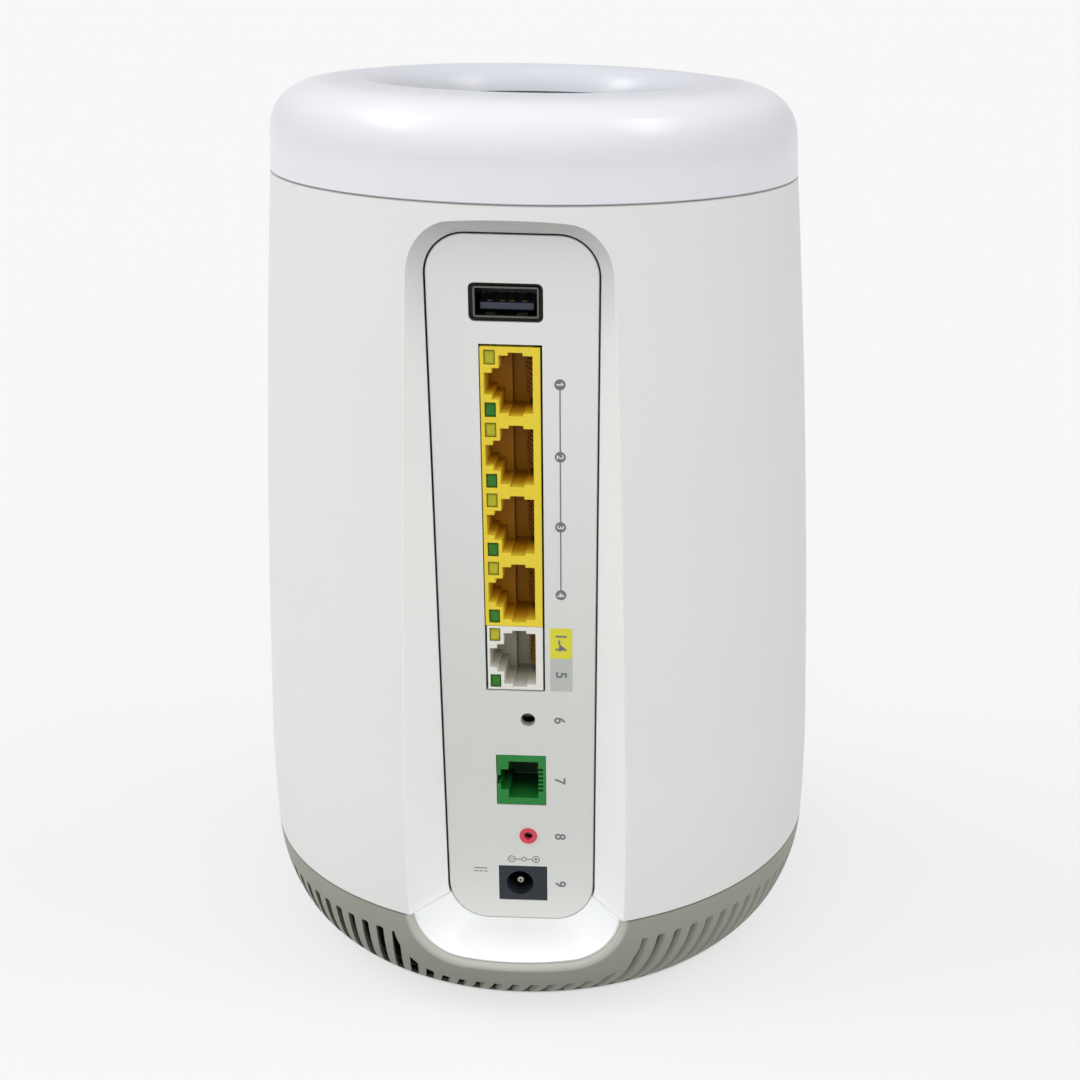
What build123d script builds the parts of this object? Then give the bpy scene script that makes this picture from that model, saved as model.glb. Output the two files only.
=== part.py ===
"""Wireless router: a tall round tower with its ports in a recess at the back.

Millimetres. +Z is up, the ports face -Y and the feet stand on z = 0.
Shapes are drawn around the tower's own axis; save() then moves them so that
the bounding box is centred on the origin.
"""
import os

from build123d import *

os.makedirs("parts", exist_ok=True)

# ---- tower ----
axis_y = -1.36
seam_low = 24.1
seam_high = 180.5
wall = 2.4
base_outline = [(55.9, 0.5), (59.4, 3.8), (62.6, 8.6), (65.2, 15.8), (66.35, 24.1)]
body_outline = [(66.35, 24.1), (66.5, 40.0), (65.9, 58.0), (62.75, 119.2), (58.1, 180.5)]
ring_outline = [(58.1, 180.5), (57.6, 189.0), (54.0, 196.1), (47.0, 198.95), (42.0, 199.55), (32.0, 194.0)]
ring_underside = [(55.8, 180.5), (55.4, 188.6), (52.2, 194.3), (46.4, 196.6), (42.1, 197.1), (33.8, 192.6)]

# ---- port panel, its recess and the cable chute under it ----
panel_y = 51.64
panel_thick = 2.2
panel_top = 173.9
panel_bottom = 17.8
panel_half_top = 17.36
panel_half_bottom = 16.34
panel_gap = 0.4
side_slope = 0.70
top_slope = 0.50
bottom_slope = 0.37
chute_wall = 1.6
chute_inset = 1.2
chute_reach = 13.0
lip_round = 2.0
ledge_y = -(panel_y - panel_thick)
tub_back = ledge_y + 2.0

# ---- vents in the base ----
slot_count = 92
slot_width = 1.8
slot_bottom = 1.8
slot_top = 18.2
slot_swirl = 30

# ---- board and ports ----
jack_face = -51.5
board_x = 5.92
board_thick = 1.6
port_pitch = 15.17
port_1_z = 143.85
wan_z = 83.15
lamp_offset = 5.45
lan_heights = [port_1_z - number * port_pitch for number in range(4)]
lan_high = port_1_z + 7.7
lan_low = lan_heights[-1] - port_pitch / 2
wan_low = wan_z - 7.37
usb_centre = (-1.37, 160.5)
dsl_lamp = (2.0, 68.6)
dsl_z = 53.6
reset_at = (1.75, 39.5)
dc_z = 27.1

# ---- front ----
pair_z = 146.0
lamp_z = 158.0


def block(x, y, z):
    """Box between three (low, high) pairs."""
    size = [high - low for low, high in (x, y, z)]
    middle = [(high + low) / 2 for low, high in (x, y, z)]
    return Pos(*middle) * Box(*size)


def rod(radius, x, z, y_from, y_to):
    """Cylinder lying along Y."""
    return Pos(x, (y_from + y_to) / 2, z) * Rot(90, 0, 0) * Cylinder(radius, y_to - y_from)


def peg(radius, x, y, z_from, z_to):
    """Cylinder standing along Z."""
    return Pos(x, y, (z_from + z_to) / 2) * Cylinder(radius, z_to - z_from)


def turned(edges):
    """Solid of revolution about the tower axis from a closed set of (radius, height) edges."""
    return revolve(Plane.XZ * make_face(edges), Axis.Z)


def arcs(points):
    """Chain of arcs: every second point is the end of one arc and the start of the next."""
    return [ThreePointArc(*points[start:start + 3]) for start in range(0, len(points) - 1, 2)]


def flowing(points):
    """Straight start, then arcs that each carry on in the direction of the last."""
    edges = [Line(points[0], points[1])]
    for point in points[2:]:
        edges.append(TangentArc(edges[-1] @ 1, point, tangent=edges[-1] % 1))
    return edges


def shell_between(outside, inside):
    """Thin revolved wall between two chains of (radius, height) edges."""
    ends = [Line(outside[0] @ 0, inside[0] @ 0), Line(outside[-1] @ 1, inside[-1] @ 1)]
    return turned([*outside, *inside, *ends])


def wall_of(outline):
    """Outer skin of the tower, one wall thick."""
    return shell_between(arcs(outline), arcs([(r - wall, z) for r, z in outline]))


def filled(outline):
    """Revolved solid from the axis out to a chain of arcs."""
    low = (0, outline[0][1])
    high = (0, outline[-1][1])
    return turned([*arcs(outline), Line(outline[0], low), Line(low, high), Line(high, outline[-1])])


def disc(radius_in, radius_out, z_from, z_to):
    """Flat ring around the tower axis."""
    ring = peg(radius_out, 0, 0, z_from, z_to)
    if radius_in > 0:
        ring -= peg(radius_in, 0, 0, z_from, z_to)
    return ring


def groove(radius, z, depth=0.35):
    """V-shaped ring that is cut away along a parting line."""
    points = [(radius + 0.5, z - depth), (radius - depth, z), (radius + 0.5, z + depth)]
    return turned(Polyline(*points, close=True))


def recess_outline(depth, margin=0.0):
    """Rounded outline of the recess at this depth out from the panel's face."""
    side = side_slope * depth + margin
    low = panel_bottom - bottom_slope * depth - margin
    high = panel_top + top_slope * depth + margin
    half_low = panel_half_bottom + side
    half_high = panel_half_top + side
    corners = [(-half_low, low), (half_low, low), (half_high, high), (-half_high, high)]
    face = make_face(Polyline(*corners, close=True))
    face = fillet(face.vertices().group_by(Axis.Y)[0], 9.0 + 0.25 * depth + margin)
    face = fillet(face.vertices().group_by(Axis.Y)[-1], 8.0 + 0.3 * depth + margin)
    return Plane.XZ.offset(panel_y + depth) * face


def inward(face, distance):
    """Prism from an outline, going from it towards the tower axis."""
    return extrude(face, distance, dir=(0, 1, 0))


def nearest_reach(edge):
    """Smallest distance from the tower axis to the ends and middle of an edge."""
    return min(Vector((edge @ along).X, (edge @ along).Y).length for along in (0, 0.5, 1))


def save(node, *shapes):
    """Write one node of one or more solids, moved from the tower's axis to the object's frame."""
    solids = [Pos(0, axis_y, 0) * solid for shape in shapes for solid in shape.solids()]
    whole = solids[0] if len(solids) == 1 else Compound(children=solids)
    whole.label = node
    export_step(whole, f"parts/{node}.step")


# ---- housing ----
body_solid = filled(body_outline)
base_solid = filled(base_outline)
recess = loft([recess_outline(0, panel_gap), recess_outline(17, panel_gap)], ruled=True)
tub_margin = panel_gap + wall
tub = loft([recess_outline(0, tub_margin), recess_outline(17, tub_margin)], ruled=True)
tub += inward(recess_outline(0, tub_margin), panel_y + tub_back)
panel_pocket = inward(recess_outline(0, panel_gap), panel_thick)
panel_window = inward(recess_outline(0, -1.6), 6)

pair_hole = rod(4.8, 0, pair_z, 50, 62)
lamp_slot = extrude(Plane.XZ.offset(-50) * Pos(0, lamp_z) * SlotOverall(9.0, 2.2), 14, dir=(0, 1, 0))

body_shell = wall_of(body_outline)
body_shell += disc(53.4, 56.4, 178.8, seam_high) & body_solid
body_shell += tub & body_solid
for x in (-7, 7):
    for z in (pair_z - 12, pair_z + 20):
        body_shell += rod(2.4, x, z, 51.2, 62.0) & body_solid
body_shell -= recess + panel_pocket + panel_window
body_shell -= pair_hole + lamp_slot
body_shell -= groove(66.35, seam_low) + groove(58.1, seam_high)
save("body_shell", body_shell)

chute_inside = filled([(r - chute_inset, z) for r, z in base_outline])
chute_form = loft([recess_outline(0, chute_wall), recess_outline(chute_reach, -0.1)], ruled=True)
below_seam = block((-40, 40), (-70, -40), (0, seam_low))
chute = chute_form & chute_inside & below_seam
chute += inward(recess_outline(0, chute_wall), panel_y + tub_back) & below_seam
scoop = loft([recess_outline(0, 0.08), recess_outline(chute_reach + 1, -0.3)], ruled=True)
chute -= scoop + inward(recess_outline(0, 0.08), panel_thick) + panel_window
save("cable_chute", chute)

keep_out = Plane.XZ.offset(30) * Pos(0, 25.9) * Rectangle(56.5, 40)
keep_out = extrude(fillet(keep_out.vertices().group_by(Axis.Z)[0], 14), 40)
slot = block((-13, 5), (-slot_width / 2, slot_width / 2), (slot_bottom, slot_top))
slot = fillet(slot.edges().filter_by(Axis.X).group_by(Axis.Z)[-1], 0.6)
slot = Pos(65, 0, 0) * Rot(0, 0, slot_swirl) * slot
slots = [Rot(0, 0, (number + 0.5) * 360 / slot_count) * slot for number in range(slot_count)]
slots = Part() + slots - keep_out

base_ring = wall_of(base_outline)
lug_angles = [45, 135, 225, 315]
for angle in lug_angles:
    base_ring += Rot(0, 0, angle) * block((45, 58), (-4, 4), (2.6, 8.0)) & base_solid
chute_hole = loft([recess_outline(0, chute_wall), recess_outline(chute_reach + 4, -0.62)], ruled=True)
chute_hole += inward(recess_outline(0, chute_wall), 8)
base_ring -= chute_hole
lip = [edge for edge in base_ring.edges() if nearest_reach(edge) > 64.3 and (edge @ 0.5).Z < 23]
base_ring = fillet(lip, lip_round)
base_ring -= slots
base_ring -= groove(66.35, seam_low)
for angle in lug_angles:
    base_ring -= Rot(0, 0, angle) * peg(1.3, 48.8, 0, 0, 7.2)
save("base_ring", base_ring)

base_plate = disc(0, 53.2, 0.8, 2.6)
feet = []
screws = []
for angle in lug_angles:
    turn = Rot(0, 0, angle)
    base_plate -= turn * (peg(2.9, 48.8, 0, 0, 1.9) + peg(1.3, 48.8, 0, 0, 3))
    screw = peg(2.7, 48.8, 0, 1.0, 1.9) + peg(1.2, 48.8, 0, 1.9, 7.0)
    screws.append(turn * (screw - peg(1.0, 48.8, 0, 0.9, 1.4)))
    turn = Rot(0, 0, angle + 45)
    base_plate -= turn * peg(6.0, 42, 0, 0, 1.4)
    feet.append(turn * peg(6.0, 42, 0, 0, 1.4))
for number in range(-4, 5):
    base_plate -= block((-22, 22), (number * 5 - 1, number * 5 + 1), (0, 3))
save("base_plate", base_plate)
save("rubber_feet", *feet)
save("base_screws", *screws)

top_ring = shell_between(flowing(ring_outline), flowing(ring_underside)) - groove(58.1, seam_high)
save("top_ring", top_ring)

grille_points = [
    (0, 188.2), (10, 188.2), (34, 186.6), (53.4, 182.3), (55.3, 182.3), (55.3, 180.5),
    (53.4, 180.5), (34, 184.6), (10, 186.2), (0, 186.2),
]
top_grille = turned(Polyline(*grille_points, close=True))
grille_slot = block((13, 31), (-1.1, 1.1), (180, 190))
grille_slot = fillet(grille_slot.edges().filter_by(Axis.Z), 1.0)
for number in range(32):
    top_grille -= Rot(0, 0, number * 360 / 32) * grille_slot
save("top_grille", top_grille)

# ---- port panel ----
usb_x, usb_z = usb_centre


def usb_block(half_x, half_z, y_from, y_to):
    """Box centred on the USB socket."""
    return block((usb_x - half_x, usb_x + half_x), (y_from, y_to), (usb_z - half_z, usb_z + half_z))


port_panel = inward(recess_outline(0), panel_thick)
port_panel = fillet(port_panel.faces().sort_by(Axis.Y)[0].edges(), 0.4)
cut_y = (-53, -48)
port_panel -= block((-7.05, 5.86), cut_y, (wan_low - 0.3, lan_high + 0.55))
port_panel -= block((-5.2, 5.9), cut_y, (dsl_z - 6.25, dsl_z + 6.25))
port_panel -= block((-5.1, 5.95), cut_y, (dc_z - 4.52, dc_z + 4.52))
usb_cut = usb_block(7.5, 3.9, *cut_y)
port_panel -= fillet(usb_cut.edges().filter_by(Axis.Y), 1.2)
port_panel -= rod(1.6, *dsl_lamp, *cut_y)
port_panel -= rod(2.0, *reset_at, *cut_y)
save("port_panel", port_panel)

reset_ring = rod(2.0, *reset_at, -(panel_y + 0.1), -(panel_y - 1.2)) - rod(0.95, *reset_at, -53, -48)
save("reset_ring", reset_ring)


# ---- network ports ----
def plug_space(z):
    """Room for one network plug: contacts at +X, latch steps at -X."""
    space = block((-1.4, 3.85), (-53, -39.0), (z - 6.1, z + 5.85))
    space += block((-3.0, -1.4), (-53, -41.5), (z - 6.1, z + 5.85))
    space += block((-4.5, -3.0), (-53, -41.5), (z - 3.25, z + 3.25))
    space += block((-6.05, -4.5), (-53, -41.5), (z - 2.25, z + 2.25))
    space += block((-1.15, 1.85), (-53, -39.0), (z - 6.7, z + 6.5))
    for number in range(8):
        contact_z = z + (number - 3.5) * 1.02
        space += block((3.8, 4.9), (-50.7, -39.5), (contact_z - 0.32, contact_z + 0.32))
    return space


def contacts(z, count, x_wall, reach):
    """Sprung wires that slope in from the wall at x_wall."""
    strip = Polyline(
        (x_wall, -50.4), (x_wall, -49.9), (x_wall - reach + 0.4, -42.2), (x_wall - reach, -42.2),
        (x_wall - 0.4, -50.4), close=True,
    )
    wires = []
    for number in range(count):
        contact_z = z + (number - (count - 1) / 2) * 1.02
        wires.append(extrude(Pos(0, 0, contact_z - 0.17) * make_face(strip), 0.34))
    return wires


def lamp(z, front=jack_face + 0.3):
    """One light window of a network port."""
    window = block((-6.05, -3.75), (front, jack_face + 3), (z - 1.53, z + 1.53))
    return fillet(window.faces().sort_by(Axis.Y)[0].edges(), 0.3)


def lamp_hole(z):
    """Opening that a light window stands in."""
    return block((-6.05, -3.75), (jack_face - 1, jack_face + 3), (z - 1.53, z + 1.53))


def jack_body(left, z_from, z_to, port_heights):
    """Housing for network ports stacked one above the other."""
    body = block((left, 5.42), (jack_face, -48.6), (z_from, z_to))
    body += block((left, board_x), (-48.6, -35.9), (z_from, z_to))
    for z in port_heights:
        body -= plug_space(z) + lamp_hole(z + lamp_offset) + lamp_hole(z - lamp_offset)
    return body


lan_block = jack_body(-6.83, lan_low, lan_high, lan_heights)
save("lan_block", lan_block)
wan_jack = jack_body(-6.6, wan_low, lan_low - 0.1, [wan_z])
save("wan_jack", wan_jack)
all_heights = [*lan_heights, wan_z]
save("amber_windows", *[lamp(z + lamp_offset) for z in all_heights])
save("green_windows", *[lamp(z - lamp_offset) for z in all_heights])
save("network_contacts", *[wire for z in all_heights for wire in contacts(z, 8, 4.9, 3.4)])

# ---- telephone-line port ----
dsl_jack = block((-5.1, 5.8), (jack_face, -48.6), (dsl_z - 6.1, dsl_z + 6.1))
dsl_jack += block((-5.1, board_x), (-48.6, -36.5), (dsl_z - 6.1, dsl_z + 6.1))
dsl_jack -= block((-2.5, 4.1), (-53, -39.5), (dsl_z - 4.5, dsl_z + 4.5))
dsl_jack -= block((-4.25, -2.5), (-53, -41.0), (dsl_z - 2.5, dsl_z + 2.5))
dsl_jack -= block((-5.2, -4.25), (-53, -41.0), (dsl_z - 1.05, dsl_z + 1.05))
for number in range(6):
    contact_z = dsl_z + (number - 2.5) * 1.02
    dsl_jack -= block((4.05, 5.2), (-53, -40.0), (contact_z - 0.3, contact_z + 0.3))
save("dsl_jack", dsl_jack)
save("dsl_contacts", *contacts(dsl_z, 4, 5.2, 2.6))

dsl_light = rod(1.3, *dsl_lamp, -46.9, -44.0)
dsl_light += block((0.4, board_x), (-46.5, -44.0), (dsl_lamp[1] - 1.6, dsl_lamp[1] + 1.6))
save("dsl_light", dsl_light)

# ---- USB socket ----
usb_shell = usb_block(6.6, 3.1, -51.2, -38.4)
usb_shell = fillet(usb_shell.edges().filter_by(Axis.Y), 0.5)
usb_shell -= usb_block(6.25, 2.75, -52, -38.8)
for side in (-1, 1):
    for offset in (-3.2, 3.2):
        leaf = Polyline((-51.0, 2.8), (-50.0, 2.3), (-46.5, 2.0), (-45.0, 2.8), close=True)
        leaf = extrude(Plane.YZ.offset(usb_x + offset - 1.1) * make_face(leaf), 2.2)
        leaf = leaf if side > 0 else mirror(leaf, Plane.XY)
        usb_shell += Pos(0, 0, usb_z) * leaf
save("usb_shell", usb_shell)

tongue_top = usb_z - 0.35
usb_tongue = block((usb_x - 5.55, usb_x + 5.55), (-49.4, -40.4), (tongue_top - 1.6, tongue_top))
usb_tongue = fillet(usb_tongue.faces().sort_by(Axis.Y)[0].edges(), 0.3)
usb_tongue += usb_block(6.25, 2.75, -40.4, -38.8)
save("usb_tongue", usb_tongue)
usb_pads = [
    block((usb_x + x - 0.5, usb_x + x + 0.5), (-48.6, -40.4), (tongue_top, tongue_top + 0.25))
    for x in (-3.5, -1.0, 1.0, 3.5)
]
save("usb_contacts", *usb_pads)

usb_surround = block((usb_x - 8.2, usb_x + 8.2), (ledge_y, -48.1), (usb_z - 4.8, usb_z + 4.8))
usb_surround += block((usb_x - 8.2, board_x), (-48.1, -38.4), (usb_z - 4.8, usb_z + 4.8))
usb_hole = fillet(usb_block(6.6, 3.1, -51.2, -38.0).edges().filter_by(Axis.Y), 0.5)
save("usb_surround", usb_surround - usb_hole)

# ---- power inlet ----
dc_x = -0.3
dc_jack = block((-5.0, 5.85), (jack_face, -48.6), (dc_z - 4.42, dc_z + 4.42))
dc_jack += block((-5.0, board_x), (-48.6, -37.4), (dc_z - 4.42, dc_z + 4.42))
dc_jack = fillet(dc_jack.edges().filter_by(Axis.Y).group_by(Axis.X)[0], 0.5)
dc_jack -= rod(3.05, dc_x, dc_z, -53, -41.0)
save("dc_jack", dc_jack)
dc_pin = rod(0.85, dc_x, dc_z, -50.3, -41.0)
dc_pin = fillet(dc_pin.faces().sort_by(Axis.Y)[0].edges(), 0.35)
save("dc_pin", dc_pin - rod(0.3, dc_x, dc_z, -51, -49.2))

# ---- reset button ----
reset_button = rod(0.75, *reset_at, -49.0, -46.8) + rod(1.55, *reset_at, -48.4, -47.6)
save("reset_button", reset_button)
reset_x, reset_z = reset_at
reset_switch = block((reset_x - 2.6, board_x), (-45.4, -41.6), (reset_z - 3.0, reset_z + 3.0))
reset_switch += rod(1.2, *reset_at, -45.9, -45.4)
save("reset_switch", reset_switch)

# ---- boards and what sits on them ----
board_back = board_x + board_thick
main_board = block((board_x, board_back), (-48.0, 34.0), (19.8, 172.0))
post_places = [(y, z) for y in (-22.0, 30.0) for z in (28.0, 92.0, 166.0)]
for y, z in post_places:
    main_board -= Pos(board_x, y, z) * Rot(0, 90, 0) * Cylinder(1.4, 8)
save("main_board", main_board)


def sideways(radius, y, z, x_from, x_to):
    """Cylinder lying along X."""
    return Pos((x_from + x_to) / 2, y, z) * Rot(0, 90, 0) * Cylinder(radius, x_to - x_from)


frame_x = board_back + 4.0
inner_frame = block((frame_x, frame_x + 2.0), (-26, 36), (2.6, 172))
inner_frame -= block((frame_x, frame_x + 2.0), (-14, 22), (26, 84))
inner_frame -= block((frame_x, frame_x + 2.0), (-14, 22), (100, 158))
inner_frame += block((frame_x, frame_x + 16), (-26, 36), (2.6, 4.6))
for y in (-26, 4, 34):
    rib = make_face(Polyline((frame_x + 2, 4.6), (frame_x + 14, 4.6), (frame_x + 2, 30), close=True))
    inner_frame += extrude(Plane.XZ.offset(-y) * rib, 2, dir=(0, 1, 0))
board_screws = []
for y, z in post_places:
    inner_frame += sideways(3.0, y, z, board_back, frame_x)
    inner_frame -= sideways(1.2, y, z, board_back - 1, frame_x + 1.5)
    head = sideways(2.4, y, z, board_x - 1.5, board_x)
    board_screws.append(head + sideways(1.1, y, z, board_x, frame_x + 1.2))
save("inner_frame", inner_frame)
save("board_screws", *board_screws)

save("processor_chip", block((board_x - 1.6, board_x), (-16, 6), (62, 84)))
save("thermal_pad", block((board_x - 2.1, board_x - 1.6), (-16, 6), (62, 84)))
heat_sink = block((board_x - 5.0, board_x - 2.1), (-26, 22), (50, 96))
for number in range(9):
    fin_y = -25.0 + number * 5.75
    heat_sink += block((-17, board_x - 5.0), (fin_y - 0.7, fin_y + 0.7), (50, 96))
save("heat_sink", heat_sink)
chips = [block((board_x - 1.2, board_x), (-20, -9), (z, z + 14)) for z in (104, 124)]
chips.append(block((board_x - 1.2, board_x), (-14, -6), (30, 40)))
save("memory_chips", *chips)
shields = [block((board_x - 3.0, board_x), (-4, 26), (z, z + 26)) for z in (102, 132)]
save("rf_shields", *shields)
save("lan_magnetics", block((0.0, board_x), (-33.5, -26.0), (92, 150)))
capacitors = [sideways(4.0, y, z, -5.0, board_x) for y, z in ((-30, 24), (-20, 38), (-30, 38))]
save("capacitors", *capacitors)

# ---- front board, pair button and status light ----
front_board = block((-10, 10), (49.6, 51.2), (pair_z - 16, pair_z + 24))
save("front_board", front_board)
pair_switch = block((-3, 3), (51.2, 54.4), (pair_z - 3, pair_z + 3)) + rod(1.7, 0, pair_z, 54.4, 55.0)
save("pair_switch", pair_switch)
pair_button = rod(4.5, 0, pair_z, 57.0, 61.4)
pair_button = fillet(pair_button.faces().sort_by(Axis.Y)[-1].edges(), 0.6)
pair_button += rod(5.8, 0, pair_z, 56.2, 57.4)
save("pair_button", pair_button)
front_lens = lamp_slot & (body_solid - block((-20, 20), (0, 56.0), (100, 200)))
save("front_lens", front_lens)
status_leds = [block((x - 0.8, x + 0.8), (51.2, 52.4), (lamp_z - 0.8, lamp_z + 0.8)) for x in (-3, 0, 3)]
save("status_leds", *status_leds)

# ---- antennas ----
carrier = disc(49.0, 55.0, 177.0, 178.8) - block((-30, 30), (-60, -40), (170, 180))
antennas = []
antenna_angles = [0, 60, 120, 180]
for angle in antenna_angles:
    turn = Rot(0, 0, angle)
    carrier += turn * block((49.0, 51.0), (-7, 7), (112, 178.8))
    antennas.append(turn * block((51.0, 51.8), (-6, 6), (114, 174)))
save("antenna_carrier", carrier)
save("antennas", *antennas)


def lead(points):
    """Thin round cable through the points."""
    path = Spline(*points)
    return sweep(Plane(origin=path @ 0, z_dir=path % 0) * Circle(0.6), path=path)


leads = [
    lead([(52.5, 0, 120), (52.5, 0.5, 110), (46, 24, 100), (22, 41, 112), (3, 40, 134), (5.2, 32, 146)]),
    lead([(26.3, 45.4, 120), (26.3, 45.2, 110), (16, 41, 110), (0, 38, 128), (5.2, 31, 140)]),
    lead([(-26.3, 45.4, 120), (-26.3, 45.2, 110), (-14, 38, 110), (-4, 34, 120), (5.2, 31, 128)]),
    lead([(-52.5, 0, 120), (-52.5, 0.5, 110), (-40, 12, 102), (-18, 24, 106), (5.2, 30, 116)]),
]
save("antenna_leads", *leads)
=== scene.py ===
import math

import bmesh
import bpy
from mathutils import Matrix, Vector


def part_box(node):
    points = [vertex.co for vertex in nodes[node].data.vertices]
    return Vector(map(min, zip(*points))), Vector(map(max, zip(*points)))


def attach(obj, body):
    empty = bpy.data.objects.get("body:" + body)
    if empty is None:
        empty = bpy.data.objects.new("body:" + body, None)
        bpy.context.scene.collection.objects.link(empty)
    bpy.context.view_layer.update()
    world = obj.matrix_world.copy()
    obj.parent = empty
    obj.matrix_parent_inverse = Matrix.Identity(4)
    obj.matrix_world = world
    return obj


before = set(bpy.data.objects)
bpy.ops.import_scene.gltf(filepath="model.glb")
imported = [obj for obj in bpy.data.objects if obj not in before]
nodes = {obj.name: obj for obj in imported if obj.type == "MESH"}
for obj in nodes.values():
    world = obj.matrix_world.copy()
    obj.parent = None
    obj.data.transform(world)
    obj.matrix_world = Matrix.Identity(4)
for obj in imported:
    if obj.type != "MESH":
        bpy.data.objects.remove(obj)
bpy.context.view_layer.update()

MM = 0.001
axis_y = -1.36 * MM


def linear(hex_colour):
    """sRGB hex to the linear colour that shaders work in."""
    channels = [int(hex_colour[start:start + 2], 16) / 255 for start in (1, 3, 5)]
    return [c / 12.92 if c <= 0.04045 else ((c + 0.055) / 1.055) ** 2.4 for c in channels] + [1.0]


def add(tree, kind, links=None, values=None, **settings):
    """One shader node with its settings, its fixed inputs and what feeds it."""
    node = tree.nodes.new(kind)
    for name, value in settings.items():
        setattr(node, name, value)
    for name, value in (values or {}).items():
        node.inputs[name].default_value = value
    for name, source in (links or {}).items():
        tree.links.new(source, node.inputs[name])
    return node


def blank(name, surface):
    """A new material: its node tree, its surface shader and the coordinates in metres."""
    material = bpy.data.materials.new(name)
    material.use_nodes = True
    tree = material.node_tree
    shader = tree.nodes["Principled BSDF"]
    for socket, value in surface.items():
        shader.inputs[socket].default_value = value
    place = add(tree, "ShaderNodeTexCoord").outputs["Object"]
    return material, tree, shader, place


def moulded(name, light, shade, surface, tone_mm, grain_mm, grain_height_mm, polish):
    """Injection-moulded plastic: slow drift of tone, rubbed patches, and the grain of the tool."""
    material, tree, shader, place = blank(name, surface)
    drift = add(
        tree, "ShaderNodeTexNoise", {"Vector": place},
        {"Scale": 1 / (tone_mm * MM), "Detail": 3.0, "Roughness": 0.5},
    )
    tone = add(tree, "ShaderNodeMix", {0: drift.outputs["Fac"]}, data_type="RGBA")
    tone.inputs["A"].default_value = linear(shade)
    tone.inputs["B"].default_value = linear(light)
    tree.links.new(tone.outputs["Result"], shader.inputs["Base Color"])
    rubbed = add(
        tree, "ShaderNodeTexNoise", {"Vector": place},
        {"Scale": 1 / (tone_mm * 0.4 * MM), "Detail": 5.0, "Roughness": 0.65},
    )
    gloss = add(
        tree, "ShaderNodeMapRange", {"Value": rubbed.outputs["Fac"]},
        {"From Min": 0.35, "From Max": 0.65, "To Min": surface["Roughness"] + polish[0],
         "To Max": surface["Roughness"] + polish[1]},
    )
    tree.links.new(gloss.outputs["Result"], shader.inputs["Roughness"])
    grain = add(
        tree, "ShaderNodeTexNoise", {"Vector": place},
        {"Scale": 1 / (grain_mm * MM), "Detail": 2.0, "Roughness": 0.6},
    )
    bump = add(
        tree, "ShaderNodeBump", {"Height": grain.outputs["Fac"]},
        {"Strength": 1.0, "Distance": grain_height_mm * MM},
    )
    tree.links.new(bump.outputs["Normal"], shader.inputs["Normal"])
    return material


def sprinkle(material, dirt, spacing_mm, size_mm, strength):
    """Sparse specks or scuffs over a finished material's colour."""
    tree = material.node_tree
    shader = tree.nodes["Principled BSDF"]
    under = shader.inputs["Base Color"].links[0].from_socket
    place = add(tree, "ShaderNodeTexCoord").outputs["Object"]
    cells = add(
        tree, "ShaderNodeTexVoronoi", {"Vector": place},
        {"Scale": 1 / (spacing_mm * MM), "Randomness": 1.0}, feature="F1",
    )
    reach = size_mm / spacing_mm
    speck = add(
        tree, "ShaderNodeMapRange", {"Value": cells.outputs["Distance"]},
        {"From Min": reach * 0.5, "From Max": reach, "To Min": strength, "To Max": 0.0},
    )
    mix = add(tree, "ShaderNodeMix", {0: speck.outputs["Result"], "A": under}, data_type="RGBA")
    mix.inputs["B"].default_value = linear(dirt)
    tree.links.new(mix.outputs["Result"], shader.inputs["Base Color"])
    return material


def along_axis(tree, axis):
    """One coordinate of the point being shaded, in metres from the tower's foot."""
    place = add(tree, "ShaderNodeTexCoord").outputs["Object"]
    return add(tree, "ShaderNodeSeparateXYZ", {"Vector": place}).outputs[axis]


def ramp(tree, value, start, end, low=0.0, high=1.0):
    """Smooth change from low to high while a value goes from start to end."""
    return add(
        tree, "ShaderNodeMapRange", {"Value": value},
        {"From Min": start, "From Max": end, "To Min": low, "To Max": high},
        interpolation_type="SMOOTHSTEP",
    ).outputs["Result"]


def maths(tree, operation, first, second=0.0):
    """One sum; either side is a number or a socket."""
    node = add(tree, "ShaderNodeMath", operation=operation)
    for socket, value in zip(node.inputs, (first, second)):
        if isinstance(value, (int, float)):
            socket.default_value = value
        else:
            tree.links.new(value, socket)
    return node.outputs["Value"]


def distance(tree, value, centre):
    """How far a value is from a number, either way."""
    return maths(tree, "ABSOLUTE", maths(tree, "SUBTRACT", value, centre))


def diagonal(tree, first, second):
    """Length of the diagonal over two sides."""
    squares = maths(tree, "ADD", maths(tree, "POWER", first, 2.0), maths(tree, "POWER", second, 2.0))
    return maths(tree, "POWER", squares, 0.5)


def from_axis(tree):
    """Distance from the tower's upright axis."""
    y = maths(tree, "SUBTRACT", along_axis(tree, "Y"), axis_y)
    return diagonal(tree, along_axis(tree, "X"), y)


def tint(material, colour, mask):
    """Lay a colour over a finished material's own, as strongly as the mask says."""
    tree = material.node_tree
    shader = tree.nodes["Principled BSDF"]
    under = shader.inputs["Base Color"].links[0].from_socket
    mix = add(tree, "ShaderNodeMix", {0: mask, "A": under}, data_type="RGBA")
    mix.inputs["B"].default_value = linear(colour)
    tree.links.new(mix.outputs["Result"], shader.inputs["Base Color"])


def painted_depth_shade(material, dark, face, start_mm, end_mm, strength=1.0):
    """Painted shade: the colour turns dark between two depths behind a face that looks along -Y."""
    tree = material.node_tree
    depth = maths(tree, "SUBTRACT", along_axis(tree, "Y"), face)
    tint(material, dark, ramp(tree, depth, start_mm * MM, end_mm * MM, 0.0, strength))


def seam_dust(material, dark, height, half_mm, strength):
    """Dust that sits in the parting line at this height."""
    tree = material.node_tree
    away = distance(tree, along_axis(tree, "Z"), height)
    tint(material, dark, ramp(tree, away, half_mm * 0.6 * MM, half_mm * MM, strength, 0.0))


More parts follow.
